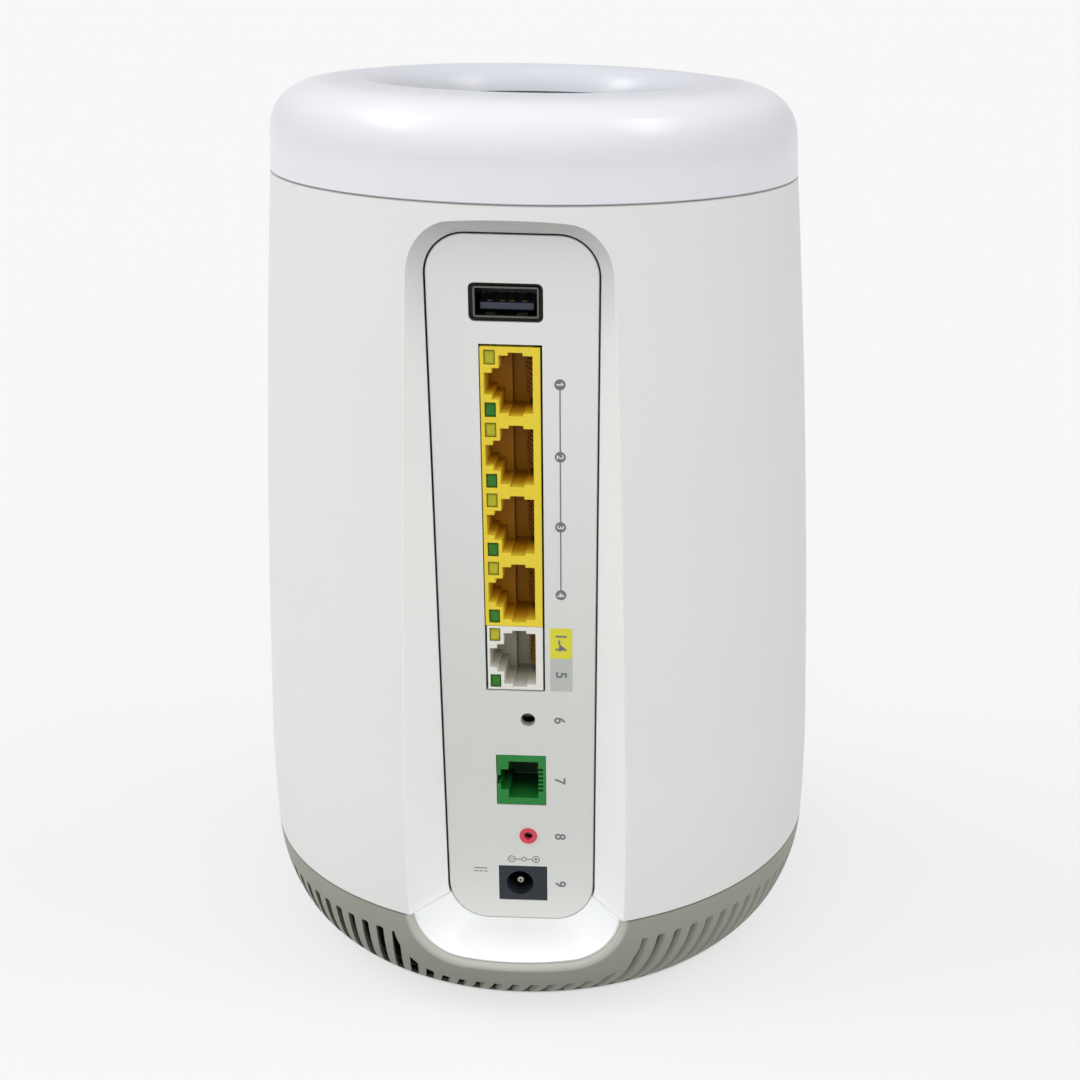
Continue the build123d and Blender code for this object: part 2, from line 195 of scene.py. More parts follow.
def drawn_metal(name, light, shade, roughness, line_mm, along):
    """Bare or plated metal with the fine lines of rolling, drawing or extruding."""
    material, tree, shader, place = blank(name, {"Metallic": 1.0, "Roughness": roughness})
    stretch = [1 / (line_mm * MM)] * 3
    stretch["xyz".index(along)] /= 40
    lines = add(tree, "ShaderNodeMapping", {"Vector": place}, {"Scale": stretch})
    streaks = add(
        tree, "ShaderNodeTexNoise", {"Vector": lines.outputs["Vector"]},
        {"Scale": 1.0, "Detail": 3.0, "Roughness": 0.6},
    )
    tone = add(tree, "ShaderNodeMix", {0: streaks.outputs["Fac"]}, data_type="RGBA")
    tone.inputs["A"].default_value = linear(shade)
    tone.inputs["B"].default_value = linear(light)
    tree.links.new(tone.outputs["Result"], shader.inputs["Base Color"])
    gloss = add(
        tree, "ShaderNodeMapRange", {"Value": streaks.outputs["Fac"]},
        {"From Min": 0.3, "From Max": 0.7, "To Min": roughness * 0.75, "To Max": roughness * 1.3},
    )
    tree.links.new(gloss.outputs["Result"], shader.inputs["Roughness"])
    bump = add(
        tree, "ShaderNodeBump", {"Height": streaks.outputs["Fac"]},
        {"Strength": 0.5, "Distance": 0.01 * MM},
    )
    tree.links.new(bump.outputs["Normal"], shader.inputs["Normal"])
    return material


# ---- finishes ----
# ABS and polycarbonate blend, moulded against a spark-eroded tool: a dry, even, slightly warm white
# whose grain of 0.1 mm is drawn at 0.4 mm so that it shows. Handling leaves faint smoother patches.
shell_white = moulded(
    "shell_white_abs", "#E9EAE8", "#E6E7E5",
    {"Roughness": 0.5, "IOR": 1.53, "Subsurface Weight": 0.04, "Subsurface Scale": 0.0008},
    tone_mm=45, grain_mm=0.4, grain_height_mm=0.012, polish=(-0.05, 0.04),
)
sprinkle(shell_white, "#8E8C86", 26, 0.16, 0.5)

# The same plastic in a finer grain, a shade greyer, so the print on it stays sharp.
panel_white = moulded(
    "panel_white_abs", "#EEEFED", "#EAEBE9",
    {"Roughness": 0.46, "IOR": 1.53},
    tone_mm=30, grain_mm=0.3, grain_height_mm=0.008, polish=(-0.04, 0.04),
)
sprinkle(panel_white, "#8E8C86", 19, 0.13, 0.45)

# Polished-tool ABS: brighter and smoother than its neighbours, with grey rubs from cable ends.
chute_white = moulded(
    "chute_white_abs", "#F9FAFA", "#F5F7F7",
    {"Roughness": 0.34, "IOR": 1.53, "Subsurface Weight": 0.05, "Subsurface Scale": 0.001},
    tone_mm=14, grain_mm=0.5, grain_height_mm=0.006, polish=(-0.04, 0.1),
)
sprinkle(chute_white, "#9A9C9E", 9, 0.22, 0.55)

# Satin-painted polycarbonate: a cool white with a soft, wide highlight and faint orange peel.
ring_white = moulded(
    "ring_white_satin_paint", "#EDEEF3", "#EAEBF0",
    {"Roughness": 0.285, "IOR": 1.5, "Specular IOR Level": 0.4},
    tone_mm=50, grain_mm=1.5, grain_height_mm=0.003, polish=(-0.005, 0.02),
)

# Pigmented ABS with a coarser spark grain: flat olive grey with no real highlight.
base_grey = moulded(
    "base_grey_abs", "#9B9D90", "#929487",
    {"Roughness": 0.55, "IOR": 1.53},
    tone_mm=25, grain_mm=0.45, grain_height_mm=0.02, polish=(-0.04, 0.05),
)
sprinkle(base_grey, "#C4C5BF", 12, 0.15, 0.4)

plate_grey = moulded(
    "plate_grey_abs", "#84867E", "#7A7C74",
    {"Roughness": 0.62, "IOR": 1.53},
    tone_mm=20, grain_mm=0.6, grain_height_mm=0.03, polish=(-0.05, 0.05),
)

# The grille at the bottom of the dish is a darker grey, so it recedes behind its slots.
grille_grey = moulded(
    "grille_grey_abs", "#5E5F61", "#565759",
    {"Roughness": 0.5, "IOR": 1.53},
    tone_mm=20, grain_mm=0.4, grain_height_mm=0.015, polish=(-0.05, 0.05),
)

# Glass-filled PBT connector body: strong yellow, half gloss, with flow marks of the filler.
port_yellow = moulded(
    "port_yellow_pbt", "#F3DC44", "#EFD339",
    {"Roughness": 0.45, "IOR": 1.57, "Specular IOR Level": 0.12},
    tone_mm=5, grain_mm=0.25, grain_height_mm=0.01, polish=(-0.06, 0.08),
)
port_white = moulded(
    "port_white_pbt", "#EEEDE6", "#E6E5DC",
    {"Roughness": 0.38, "IOR": 1.57, "Subsurface Weight": 0.08, "Subsurface Scale": 0.0006},
    tone_mm=5, grain_mm=0.25, grain_height_mm=0.01, polish=(-0.06, 0.08),
)
port_green = moulded(
    "port_green_pbt", "#26883A", "#1F7A31",
    {"Roughness": 0.36, "IOR": 1.57, "Specular IOR Level": 0.25},
    tone_mm=5, grain_mm=0.25, grain_height_mm=0.01, polish=(-0.05, 0.08),
)
inlet_charcoal = moulded(
    "inlet_charcoal_nylon", "#2C3037", "#25292F",
    {"Roughness": 0.42, "IOR": 1.53, "Specular IOR Level": 0.25},
    tone_mm=6, grain_mm=0.3, grain_height_mm=0.015, polish=(-0.05, 0.08),
)
tongue_blue = moulded(
    "tongue_blue_lcp", "#222A40", "#181D2C",
    {"Roughness": 0.4, "IOR": 1.6},
    tone_mm=4, grain_mm=0.3, grain_height_mm=0.01, polish=(-0.05, 0.08),
)
surround_black = moulded(
    "surround_black_nylon", "#141416", "#0E0E10",
    {"Roughness": 0.5, "IOR": 1.53},
    tone_mm=8, grain_mm=0.3, grain_height_mm=0.012, polish=(-0.05, 0.05),
)
reset_red = moulded(
    "reset_red_abs", "#DE4256", "#C93548",
    {"Roughness": 0.35, "IOR": 1.53, "Subsurface Weight": 0.15, "Subsurface Scale": 0.0005},
    tone_mm=2, grain_mm=0.2, grain_height_mm=0.006, polish=(-0.05, 0.05),
)
button_grey = moulded(
    "button_grey_abs", "#C9CAC8", "#BFC0BE",
    {"Roughness": 0.42, "IOR": 1.53},
    tone_mm=6, grain_mm=0.3, grain_height_mm=0.008, polish=(-0.06, 0.04),
)
frame_black = moulded(
    "frame_black_abs", "#1D1E20", "#17181A",
    {"Roughness": 0.55, "IOR": 1.53},
    tone_mm=20, grain_mm=0.4, grain_height_mm=0.015, polish=(-0.05, 0.05),
)
chip_black = moulded(
    "chip_black_epoxy", "#17181A", "#101113",
    {"Roughness": 0.6, "IOR": 1.55},
    tone_mm=6, grain_mm=0.15, grain_height_mm=0.01, polish=(-0.05, 0.05),
)
foot_rubber = moulded(
    "foot_rubber_neoprene", "#232324", "#1A1A1B",
    {"Roughness": 0.85, "IOR": 1.52},
    tone_mm=5, grain_mm=0.3, grain_height_mm=0.03, polish=(-0.08, 0.05),
)
lead_black = moulded(
    "lead_black_fep", "#1B1C1E", "#141517",
    {"Roughness": 0.3, "IOR": 1.4},
    tone_mm=10, grain_mm=0.5, grain_height_mm=0.004, polish=(-0.04, 0.04),
)
pad_grey = moulded(
    "pad_grey_silicone", "#8C9299", "#7F858C",
    {"Roughness": 0.8, "IOR": 1.41},
    tone_mm=6, grain_mm=0.4, grain_height_mm=0.02, polish=(-0.05, 0.05),
)

# Clear acrylic light pipes, tinted, with a polished face.
window_amber = moulded(
    "window_amber_acrylic", "#CFCB34", "#A9A61E",
    {"Roughness": 0.14, "IOR": 1.49, "Specular IOR Level": 0.22},
    tone_mm=1.4, grain_mm=0.4, grain_height_mm=0.006, polish=(-0.03, 0.1),
)
window_green = moulded(
    "window_green_acrylic", "#438F30", "#28681C",
    {"Roughness": 0.14, "IOR": 1.49, "Specular IOR Level": 0.22},
    tone_mm=1.4, grain_mm=0.4, grain_height_mm=0.006, polish=(-0.03, 0.1),
)
lens_clear = moulded(
    "lens_frosted_acrylic", "#E9ECEE", "#DDE1E4",
    {"Roughness": 0.35, "IOR": 1.49, "Transmission Weight": 0.4},
    tone_mm=4, grain_mm=0.2, grain_height_mm=0.01, polish=(-0.05, 0.08),
)

# Metals keep the default IOR. Sheet and wire carry the lines of the mill along their length.
socket_steel = drawn_metal("socket_plated_steel", "#77736C", "#5C5852", 0.4, 0.12, "y")
contact_gold = drawn_metal("contact_gold_plate", "#F0C670", "#C99A48", 0.5, 0.1, "y")
# The USB contacts are a darker gold than the others.
contact_dull = drawn_metal("contact_dark_gold_plate", "#5F5A3C", "#484430", 0.5, 0.1, "y")
pin_steel = drawn_metal("pin_nickel_plate", "#B9B4A6", "#958F82", 0.28, 0.1, "y")
sink_aluminium = drawn_metal("sink_extruded_aluminium", "#C9CBCD", "#B2B4B6", 0.35, 0.25, "z")
shield_steel = drawn_metal("shield_tinned_steel", "#C6C6C2", "#B0B0AC", 0.3, 0.2, "z")
screw_steel = drawn_metal("screw_zinc_plate", "#A9AAA8", "#8B8C8A", 0.35, 0.2, "x")


def board_laminate():
    """Glass-epoxy board under green solder mask: the copper tracks show as paler, raised lanes."""
    track_mm = 1.2
    material, tree, shader, place = blank("board_green_mask", {"Roughness": 0.3, "IOR": 1.55})
    lanes = add(
        tree, "ShaderNodeTexVoronoi", {"Vector": place},
        {"Scale": 1 / (track_mm * 3 * MM), "Randomness": 0.6},
        feature="DISTANCE_TO_EDGE", distance="EUCLIDEAN",
    )
    copper = add(
        tree, "ShaderNodeMapRange", {"Value": lanes.outputs["Distance"]},
        {"From Min": 0.06, "From Max": 0.1, "To Min": 1.0, "To Max": 0.0},
    )
    tone = add(tree, "ShaderNodeMix", {0: copper.outputs["Result"]}, data_type="RGBA")
    tone.inputs["A"].default_value = linear("#123F22")
    tone.inputs["B"].default_value = linear("#2B6B3C")
    tree.links.new(tone.outputs["Result"], shader.inputs["Base Color"])
    bump = add(
        tree, "ShaderNodeBump", {"Height": copper.outputs["Result"]},
        {"Strength": 1.0, "Distance": 0.035 * MM},
    )
    tree.links.new(bump.outputs["Normal"], shader.inputs["Normal"])
    return material


def printed(name, colour, thin):
    """Pad-printed ink: dense but a little uneven, with its own slight shine."""
    return moulded(
        name, colour, thin, {"Roughness": 0.4, "IOR": 1.5},
        tone_mm=0.8, grain_mm=0.15, grain_height_mm=0.004, polish=(-0.05, 0.05),
    )


board_green = board_laminate()
print_grey = printed("print_grey_ink", "#6A6E72", "#74787C")
print_pale = printed("print_pale_ink", "#DFE1E0", "#D6D8D7")
tag_yellow = printed("tag_yellow_ink", "#E2DC2A", "#DBD530")
tag_grey = printed("tag_grey_ink", "#C0C3BE", "#BABDB8")

finishes = {
    shell_white: ["body_shell"],
    panel_white: ["port_panel"],
    grille_grey: ["top_grille"],
    chute_white: ["cable_chute"],
    ring_white: ["top_ring"],
    base_grey: ["base_ring"],
    plate_grey: ["base_plate"],
    port_yellow: ["lan_block"],
    port_white: ["wan_jack"],
    port_green: ["dsl_jack"],
    inlet_charcoal: ["dc_jack"],
    tongue_blue: ["usb_tongue"],
    surround_black: ["usb_surround", "reset_switch", "pair_switch"],
    reset_red: ["reset_ring"],
    button_grey: ["reset_button", "pair_button"],
    frame_black: ["inner_frame", "antenna_carrier"],
    chip_black: ["processor_chip", "memory_chips", "lan_magnetics"],
    foot_rubber: ["rubber_feet"],
    lead_black: ["antenna_leads"],
    pad_grey: ["thermal_pad"],
    window_amber: ["amber_windows"],
    window_green: ["green_windows"],
    lens_clear: ["dsl_light", "front_lens", "status_leds"],
    socket_steel: ["usb_shell"],
    contact_gold: ["network_contacts", "dsl_contacts"],
    contact_dull: ["usb_contacts"],
    pin_steel: ["dc_pin"],
    sink_aluminium: ["heat_sink", "capacitors"],
    shield_steel: ["rf_shields"],
    screw_steel: ["base_screws", "board_screws"],
    board_green: ["main_board", "front_board", "antennas"],
}
for finish, names in finishes.items():
    for name in names:
        piece = nodes[name]
        for slot in piece.material_slots:
            slot.material = finish

# The moulded connectors have small worn edges that catch the light.
for name in ("lan_block", "wan_jack", "dsl_jack", "dc_jack"):
    weld = nodes[name].modifiers.new("weld", "WELD")
    weld.merge_threshold = 0.001 * MM
    soften = nodes[name].modifiers.new("soften", "BEVEL")
    soften.width = 0.12 * MM
    soften.segments = 2
    soften.limit_method = "ANGLE"
    soften.angle_limit = math.radians(50)
    soften.use_clamp_overlap = True

# ---- what each place adds to its material ----
face_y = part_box("port_panel")[0].y
jack_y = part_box("lan_block")[0].y
seam_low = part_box("base_ring")[1].z
seam_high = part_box("body_shell")[1].z
port_pitch = 15.17 * MM
window_x = -4.9 * MM
window_half_width = 1.15 * MM
window_half_height = 1.53 * MM
base_radius = 66.4 * MM
base_curve = 0.0175 / MM
recess_half_foot = 16.7 * MM
recess_taper = 0.0065
recess_flare = 0.7
hole_half_flat = 11.5 * MM
hole_top = 24.8 * MM

# Painted shade: deep in a port the moulding is in its own shade and reads as brown, not yellow; the
# walls of the panel's openings and the inside of the USB shell are darkened inward the same way.
painted_depth_shade(port_yellow, "#DFA016", jack_y, 0.8, 4.5, 0.75)
painted_depth_shade(port_yellow, "#9A6206", jack_y, 4.0, 10.5, 0.85)
painted_depth_shade(port_white, "#CFCBB8", jack_y, 0.8, 5.0, 0.8)
painted_depth_shade(port_white, "#8E8A76", jack_y, 5.0, 11.0, 0.8)
painted_depth_shade(port_green, "#0A2412", jack_y, 3.0, 9.0, 0.9)
painted_depth_shade(inlet_charcoal, "#0A0B0D", jack_y, 0.8, 6.0, 0.9)
painted_depth_shade(panel_white, "#2E2F30", face_y, 0.35, 0.9, 0.9)
painted_depth_shade(socket_steel, "#1B1917", face_y, 0.6, 3.0, 0.9)


def comb_shade(material, dark):
    """The slots that the sprung contacts run in are always in shade."""
    tree = material.node_tree
    depth = maths(tree, "SUBTRACT", along_axis(tree, "Y"), jack_y)
    aside = ramp(tree, along_axis(tree, "X"), 3.86 * MM, 3.95 * MM)
    inward = ramp(tree, depth, 0.25 * MM, 0.8 * MM, 0.0, 0.95)
    tint(material, dark, maths(tree, "MULTIPLY", aside, inward))


comb_shade(port_yellow, "#241804")
comb_shade(port_white, "#2A2823")


def root_shade(material, dark):
    """The far corner behind the sprung contacts is darker than the rest of the port."""
    tree = material.node_tree
    depth = maths(tree, "SUBTRACT", along_axis(tree, "Y"), jack_y)
    aside = ramp(tree, along_axis(tree, "X"), 1.9 * MM, 2.6 * MM)
    inward = ramp(tree, depth, 5.0 * MM, 10.0 * MM, 0.0, 0.9)
    tint(material, dark, maths(tree, "MULTIPLY", aside, inward))


root_shade(port_yellow, "#2E1C03")
root_shade(port_white, "#3A372E")


def rim_shade(material, dark, top_z):
    """Painted shade: light windows are darker at their rims."""
    tree = material.node_tree
    aside = distance(tree, along_axis(tree, "X"), window_x)
    lift = maths(tree, "SUBTRACT", top_z - window_half_height + port_pitch / 2, along_axis(tree, "Z"))
    along = distance(tree, maths(tree, "MODULO", lift, port_pitch), port_pitch / 2)
    square_up = maths(tree, "MULTIPLY", aside, window_half_height / window_half_width)
    edge = maths(tree, "MAXIMUM", square_up, along)
    tint(material, dark, ramp(tree, edge, 0.8 * MM, 1.5 * MM, 0.0, 0.85))


rim_shade(window_amber, "#66661A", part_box("amber_windows")[1].z)
rim_shade(window_green, "#0F3D14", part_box("green_windows")[1].z)


def inside_shade(material, dark):
    """The inner face of the base and the flanks of its slots never see the light."""
    tree = material.node_tree
    drop = maths(tree, "POWER", maths(tree, "SUBTRACT", seam_low, along_axis(tree, "Z")), 2.0)
    skin = maths(tree, "SUBTRACT", base_radius, maths(tree, "MULTIPLY", drop, base_curve))
    depth = maths(tree, "SUBTRACT", skin, from_axis(tree))
    tint(material, dark, ramp(tree, depth, 0.8 * MM, 1.9 * MM, 0.0, 0.97))


inside_shade(base_grey, "#121310")


def pocket_shade(material, dark):
    """Painted shade in the narrow gap round the panel."""
    tree = material.node_tree
    away = maths(tree, "ABSOLUTE", along_axis(tree, "X"))
    deep = ramp(tree, along_axis(tree, "Y"), face_y + 0.1 * MM, face_y + 0.5 * MM)
    rear_half = ramp(tree, along_axis(tree, "Y"), -30 * MM, -25 * MM, 1.0, 0.0)
    beside = ramp(tree, away, 18.2 * MM, 18.6 * MM, 0.9, 0.0)
    tint(material, dark, maths(tree, "MULTIPLY", maths(tree, "MULTIPLY", deep, rear_half), beside))


def recess_painted_light(material, pale):
    """Painted light: the flared walls beside the panel are made whiter, to lift them out of the shade
    of the recess.
    """
    tree = material.node_tree
    away = maths(tree, "ABSOLUTE", along_axis(tree, "X"))
    taper = maths(tree, "MULTIPLY", along_axis(tree, "Z"), recess_taper)
    outward = maths(tree, "SUBTRACT", face_y, along_axis(tree, "Y"))
    flare = maths(tree, "MULTIPLY", outward, recess_flare)
    wall = maths(tree, "ADD", maths(tree, "ADD", taper, flare), recess_half_foot)
    inward = ramp(tree, maths(tree, "SUBTRACT", away, wall), -0.15 * MM, 0.35 * MM, 1.0, 0.0)
    behind = ramp(tree, along_axis(tree, "Y"), -46 * MM, -44 * MM, 1.0, 0.0)
    under = ramp(tree, along_axis(tree, "Z"), 150 * MM, 170 * MM, 1.0, 0.0)
    tint(material, pale, maths(tree, "MULTIPLY", inward, maths(tree, "MULTIPLY", behind, under)))


# Painted light on the recess walls beside the panel; painted shade in the gap round it.
recess_painted_light(shell_white, "#F8F9F8")
pocket_shade(shell_white, "#3A3B3C")

# Dust in the parting lines over and under the body shell.
seam_dust(shell_white, "#8A8B8C", seam_high, 0.35, 0.6)
seam_dust(ring_white, "#8A8B8C", seam_high, 0.35, 0.6)
seam_dust(shell_white, "#8A8B84", seam_low, 0.3, 0.35)
seam_dust(base_grey, "#4A4B44", seam_low, 0.4, 0.5)


def lip_painted_light(material, pale):
    """Painted light: the rounded lip of the cable hole faces up into the light and is painted paler
    than the rest.
    """
    tree = material.node_tree
    away = maths(tree, "ABSOLUTE", along_axis(tree, "X"))
    aside = maths(tree, "MAXIMUM", maths(tree, "SUBTRACT", away, hole_half_flat), 0.0)
    below_top = maths(tree, "SUBTRACT", hole_top, along_axis(tree, "Z"))
    down = maths(tree, "MAXIMUM", below_top, 0.0)
    near = ramp(tree, diagonal(tree, aside, down), 13.0 * MM, 13.8 * MM, 0.9, 0.0)
    behind = ramp(tree, along_axis(tree, "Y"), -58 * MM, -55 * MM, 1.0, 0.0)
    tint(material, pale, maths(tree, "MULTIPLY", near, behind))


# Painted light on the lip of the cable hole.
lip_painted_light(base_grey, "#B8BAB1")


def dish_shade(material, shade):
    """The hollow of the top ring is in the shade of its own rim."""
    tree = material.node_tree
    tint(material, shade, ramp(tree, from_axis(tree), 51 * MM, 42 * MM, 0.0, 0.72))


def fade_by_height(material, colour, start_mm, end_mm, strength):
    """Lay a colour over a material by height: none at the start, full strength from the end on."""
    tree = material.node_tree
    height = along_axis(tree, "Z")
    tint(material, colour, ramp(tree, height, start_mm * MM, end_mm * MM, 0.0, strength))


dish_shade(ring_white, "#C9CBD3")
# Painted shade: the upper side of the ring is darkened against the light that falls on it, and the base
# plate is darkened over its underside, where it is in the dark.
fade_by_height(ring_white, "#B9BBC2", 185, 195, 0.42)
fade_by_height(plate_grey, "#14150F", 0.85, 1.2, 0.92)


def dyed_halo(material, dye, centre, inner_mm, outer_mm, strength):
    """Colour that has crept from a dyed ring into the panel round it."""
    tree = material.node_tree
    aside = maths(tree, "SUBTRACT", along_axis(tree, "X"), centre.x)
    lift = maths(tree, "SUBTRACT", along_axis(tree, "Z"), centre.z)
    reach = diagonal(tree, aside, lift)
    tint(material, dye, ramp(tree, reach, inner_mm * MM, outer_mm * MM, strength, 0.0))


reset_low, reset_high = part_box("reset_ring")
dyed_halo(panel_white, "#F0B4B8", (reset_low + reset_high) / 2, 1.9, 3.0, 0.6)
# Painted shade: the panel is greyed towards its lower ports, where less light reaches it.
fade_by_height(panel_white, "#CFD1CC", 170, 50, 0.75)

# ---- print on the port panel ----
ink = 0.03 * MM


def on_panel(name, mesh, x, z, finish, raised=0.0):
    """Lay a flat mesh drawn in (x, z) on the panel's face, or on ink that is there already."""
    piece = bpy.data.objects.new(name, mesh)
    bpy.context.scene.collection.objects.link(piece)
    piece.location = (x, face_y - raised, z)
    mesh.materials.clear()
    mesh.materials.append(finish)
    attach(piece, "housing")
    return piece


def slab(name, outline):
    """Ink-thick plate from a closed (x, z) outline in metres."""
    mesh = bpy.data.meshes.new(name)
    shape = bmesh.new()
    base = shape.faces.new([shape.verts.new((x, 0, z)) for x, z in outline])
    top = bmesh.ops.extrude_face_region(shape, geom=[base])
    moved = [item for item in top["geom"] if isinstance(item, bmesh.types.BMVert)]
    bmesh.ops.translate(shape, verts=moved, vec=(0, -ink, 0))
    bmesh.ops.recalc_face_normals(shape, faces=shape.faces)
    shape.to_mesh(mesh)
    shape.free()
    return mesh


def disc_outline(radius, steps=40):
    """Points round a circle."""
    return [
        (radius * math.cos(2 * math.pi * step / steps), radius * math.sin(2 * math.pi * step / steps))
        for step in range(steps)
    ]


def bar_outline(width, height):
    """Corners of a rectangle about its centre."""
    x = width / 2
    z = height / 2
    return [(-x, -z), (x, -z), (x, z), (-x, z)]


def one_outline(height):
    """The figure 1 with its flag, turned a quarter to the right."""
    stem = [(-0.11, -0.5), (0.13, -0.5), (0.13, 0.5)]
    flag = [(-0.05, 0.5), (-0.33, 0.3), (-0.33, 0.1), (-0.11, 0.22)]
    return [(z * height, -x * height) for x, z in stem + flag]


def ring_mesh(name, radius, line, steps=40):
    """Ink-thick ring."""
    mesh = bpy.data.meshes.new(name)
    shape = bmesh.new()
    loops = []
    for r, y in ((radius, 0), (radius, -ink), (radius - line, -ink), (radius - line, 0)):
        loops.append([shape.verts.new((x, y, z)) for x, z in disc_outline(r, steps)])
    for first, second in zip(loops, loops[1:] + loops[:1]):
        for step in range(steps):
            after = (step + 1) % steps
            shape.faces.new((first[step], first[after], second[after], second[step]))
    bmesh.ops.recalc_face_normals(shape, faces=shape.faces)
    shape.to_mesh(mesh)
    shape.free()
    return mesh


def figure_mesh(name, text, height):
    """A plain number, turned a quarter to the right as the ports are."""
    curve = bpy.data.curves.new(name, "FONT")
    curve.body = text
    curve.size = height * 1.38
    curve.align_x = "CENTER"
    curve.align_y = "CENTER"
    curve.extrude = ink / 2
    curve.offset = 0.02 * curve.size
    writing = bpy.data.objects.new(name, curve)
    bpy.context.scene.collection.objects.link(writing)
    bpy.context.view_layer.update()
    settled = writing.evaluated_get(bpy.context.evaluated_depsgraph_get())
    mesh = bpy.data.meshes.new_from_object(settled)
    bpy.data.objects.remove(writing)
    xs = [v.co.x for v in mesh.vertices]
    ys = [v.co.y for v in mesh.vertices]
    centre = Vector(((min(xs) + max(xs)) / 2, (min(ys) + max(ys)) / 2, 0))
    to_centre = Matrix.Translation(-centre)
    upright = Matrix.Rotation(math.radians(90), 4, "X")
    quarter = Matrix.Rotation(math.radians(90), 4, "Y")
    onto_face = Matrix.Translation((0, -ink / 2, 0))
    mesh.transform(onto_face @ quarter @ upright @ to_centre)
    return mesh


number_pitch = 15.27 * MM
number_x = 9.4 * MM
number_radius = 1.15 * MM
number_z = [144.1 * MM - number_pitch * place for place in range(4)]
for place, z in enumerate(number_z):
    figure = str(place + 1)
    disc = slab("number_disc_" + figure, disc_outline(number_radius))
    on_panel("number_disc_" + figure, disc, number_x, z, print_grey)
    if figure == "1":
        drawn = slab("number_1", one_outline(1.4 * MM))
    else:
        drawn = figure_mesh("number_" + figure, figure, 1.5 * MM)
    on_panel("number_" + figure, drawn, number_x, z, print_pale, ink)
for place in range(3):
    gap = number_z[place] - number_z[place + 1] - 2 * number_radius
    middle = (number_z[place] + number_z[place + 1]) / 2
    name = "number_line_" + str(place + 1)
    line = slab(name, bar_outline(0.28 * MM, gap))
    on_panel(name, line, number_x, middle, print_grey)

# Two coloured tags beside the white port, each with its number.
figure_height = 2.4 * MM
tag_width = 4.8 * MM
tag_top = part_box("wan_jack")[1].z
tag_z = {"tag_yellow": tag_top - 3.6 * MM, "tag_grey": tag_top - 11.05 * MM}
tag_looks = {
    "tag_yellow": (7.1, tag_yellow, "port_yellow"),
    "tag_grey": (7.8, tag_grey, "base_grey"),
}
for name, (height, finish, slot) in tag_looks.items():
    tag = slab(name, bar_outline(tag_width, height * MM))
    on_panel(name, tag, number_x, tag_z[name], finish)
for name, figure in {"tag_yellow": "1-4", "tag_grey": "5"}.items():
    label = name + "_number"
    drawn = figure_mesh(label, figure, figure_height)
    on_panel(label, drawn, number_x, tag_z[name], print_grey, ink)

port_numbers = {"dsl_light": "6", "dsl_jack": "7", "reset_ring": "8", "dc_jack": "9"}
for name, figure in port_numbers.items():
    low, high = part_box(name)
    label = "port_number_" + figure
    drawn = figure_mesh(label, figure, figure_height)
    on_panel(label, drawn, number_x - 0.4 * MM, (low.z + high.z) / 2, print_grey)

# Polarity sign over the power inlet: two end rings, a middle ring, the lines between, minus and plus.
# Beside the inlet is the direct-current sign: a line over three dashes. Places are in millimetres.
sign_z = 33.4 * MM
sign_line = 0.2 * MM
for name, x, radius in (("minus", -2.1, 0.88), ("middle", 0.65, 0.6), ("plus", 3.4, 0.88)):
    ring = ring_mesh("polarity_ring_" + name, radius * MM, sign_line)
    on_panel("polarity_ring_" + name, ring, x * MM, sign_z, print_grey)
sign_bars = {
    "polarity_line_left": (-0.58, 0, 1.2, 0.2),
    "polarity_line_right": (1.88, 0, 1.2, 0.2),
    "polarity_minus": (-2.1, 0, 0.8, 0.2),
    "polarity_plus_across": (3.4, 0, 0.8, 0.2),
    "polarity_plus_up": (3.4, 0, 0.2, 0.8),
    "direct_line": (-9.2, -2.6, 3.0, 0.24),
    "direct_dash_1": (-10.3, -3.4, 0.8, 0.24),
    "direct_dash_2": (-9.2, -3.4, 0.8, 0.24),
    "direct_dash_3": (-8.1, -3.4, 0.8, 0.24),
}
for name, (x, up, width, height) in sign_bars.items():
    bar = slab(name, bar_outline(width * MM, height * MM))
    on_panel(name, bar, x * MM, sign_z + up * MM, print_grey)

# ---- floor, light, camera ----
floor_mesh = bpy.data.meshes.new("floor")
floor_shape = bmesh.new()
bmesh.ops.create_grid(floor_shape, x_segments=1, y_segments=1, size=80)
floor_shape.to_mesh(floor_mesh)
floor_shape.free()
floor = bpy.data.objects.new("floor", floor_mesh)
bpy.context.scene.collection.objects.link(floor)
# Pale paper that is partly lit from behind, so that shadows on it stay faint.
floor_glow = 0.682
floor_paper = moulded(
    "floor_paper", "#7C7C7C", "#7B7B7B",
    {"Roughness": 0.9, "Specular IOR Level": 0.0, "Emission Color": (1.0, 1.0, 1.0, 1.0)},
    tone_mm=400, grain_mm=2, grain_height_mm=0.0, polish=(0.0, 0.0),
)
# Under the tower the paper is in full shade.
shade_inner = 54.5 * MM
shade_outer = 57.5 * MM
floor_tree = floor_paper.node_tree
floor_place = add(floor_tree, "ShaderNodeTexCoord").outputs["Object"]
reach = add(floor_tree, "ShaderNodeVectorMath", {0: floor_place}, operation="LENGTH").outputs["Value"]
lit = ramp(floor_tree, reach, shade_inner, shade_outer, 0.01, floor_glow)
floor_tree.links.new(lit, floor_tree.nodes["Principled BSDF"].inputs["Emission Strength"])
tint(floor_paper, "#141414", ramp(floor_tree, reach, shade_inner, shade_outer, 1.0, 0.0))
floor_mesh.materials.append(floor_paper)
floor.visible_diffuse = False

world = bpy.data.worlds.new("studio")
world.use_nodes = True
bpy.context.scene.world = world
bpy.context.scene.view_settings.view_transform = "Standard"
room = world.node_tree
way = add(room, "ShaderNodeTexCoord").outputs["Generated"]
compass = add(room, "ShaderNodeSeparateXYZ", {"Vector": way})
rise = compass.outputs["Z"]


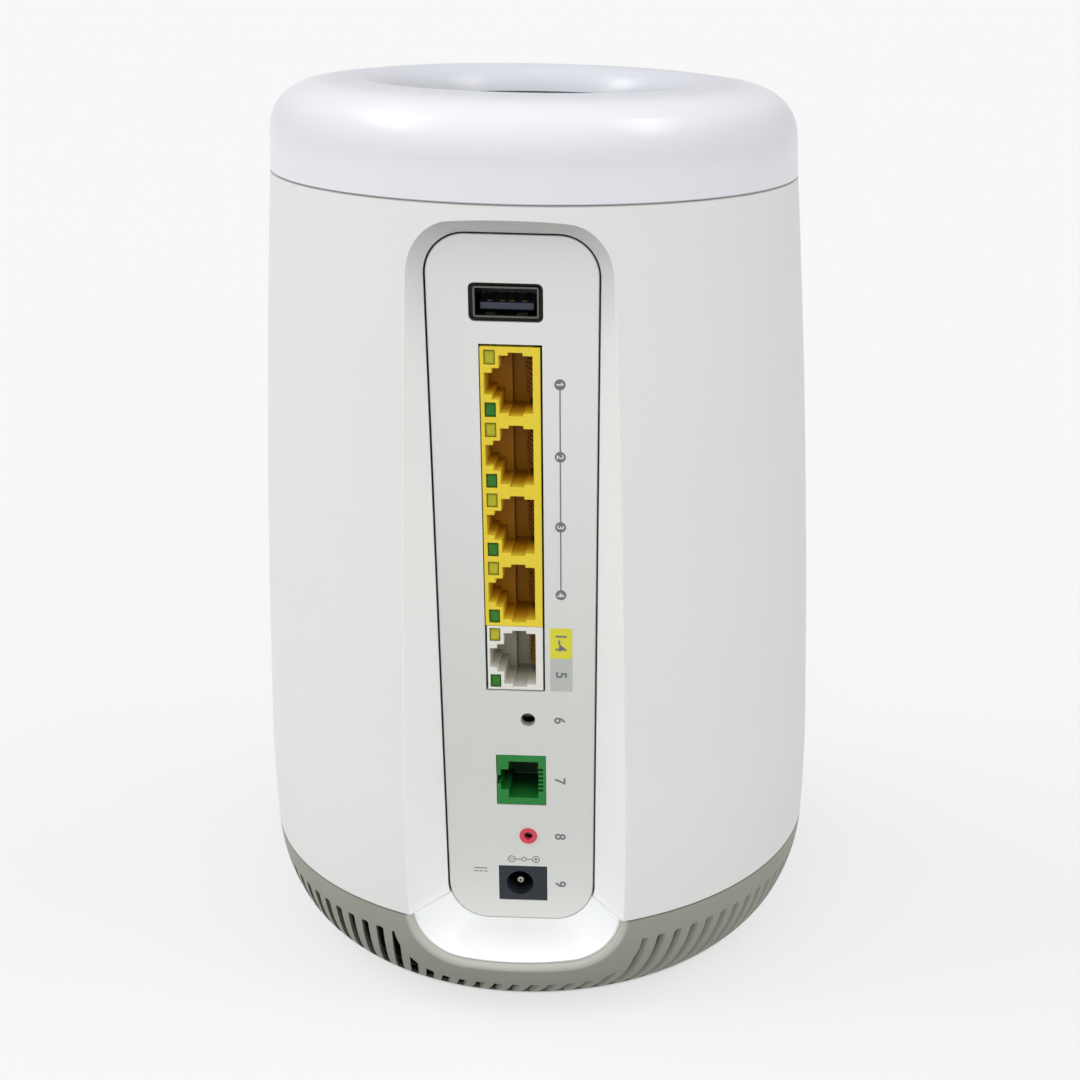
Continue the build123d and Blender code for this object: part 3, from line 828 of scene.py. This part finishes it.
def strip_light(centre, half_size, turn, strength):
    """Long soft light in the ceiling: centre and size are in units of its height."""
    lift = maths(room, "DIVIDE", 1.0, maths(room, "MAXIMUM", rise, 0.05))
    ceiling = add(room, "ShaderNodeVectorMath", {"Vector": way, "Scale": lift}, operation="SCALE")
    local = add(
        room, "ShaderNodeMapping", {"Vector": ceiling.outputs["Vector"]},
        {"Location": (*centre, 0), "Rotation": (0, 0, math.radians(turn)), "Scale": (*half_size, 1)},
        vector_type="TEXTURE",
    )
    parts = add(room, "ShaderNodeSeparateXYZ", {"Vector": local.outputs["Vector"]})
    across = ramp(room, maths(room, "ABSOLUTE", parts.outputs["X"]), 0.6, 1.2, 1.0, 0.0)
    length = ramp(room, maths(room, "ABSOLUTE", parts.outputs["Y"]), 0.7, 1.1, 1.0, 0.0)
    shape = maths(room, "MULTIPLY", across, length)
    shape = maths(room, "MULTIPLY", shape, ramp(room, rise, 0.1, 0.2))
    return maths(room, "MULTIPLY", shape, strength)


base = ramp(room, rise, 0.0, 0.6, 0.65, 0.47)
below = ramp(room, rise, -0.6, 0.05, 0.12, 1.0)
glow = maths(room, "MULTIPLY", base, below)
# One wide soft window, over the camera's shoulder and a little to its left.
facing = add(room, "ShaderNodeVectorMath", {0: way}, {1: (-0.11, -0.94, 0.32)}, operation="DOT_PRODUCT")
window = ramp(room, facing.outputs["Value"], -0.3, 1.0, 0.0, 0.71)
glow = maths(room, "ADD", glow, maths(room, "MULTIPLY", window, ramp(room, rise, -0.5, 0.0)))
glow = maths(room, "ADD", glow, strip_light((-0.80, 0.0), (0.10, 0.48), -29, 16.0))
glow = maths(room, "ADD", glow, strip_light((0.66, -0.08), (0.09, 0.44), 39, 10.5))
room.nodes["Background"].inputs["Color"].default_value = (1.0, 1.0, 1.0, 1.0)
# Past the edge of the floor the room is as pale as the floor.
seen = add(room, "ShaderNodeLightPath").outputs["Is Camera Ray"]
backdrop = 0.93
shown = add(room, "ShaderNodeMix", {0: seen, "A": glow}, {"B": backdrop}, data_type="FLOAT")
room.links.new(shown.outputs["Result"], room.nodes["Background"].inputs["Strength"])

camera_data = bpy.data.cameras.new("camera")
camera_data.sensor_width = 36
camera_data.lens = 55.143
camera_data.shift_x = -0.12836
camera_data.shift_y = 0.06063
camera_data.clip_start = 0.01
camera = bpy.data.objects.new("camera", camera_data)
bpy.context.scene.collection.objects.link(camera)
camera.location = (0.03876, -0.37968, 0.2285)
camera.rotation_euler = [math.radians(angle) for angle in (68.0243, -1.2705, 1.2626)]
bpy.context.scene.camera = camera
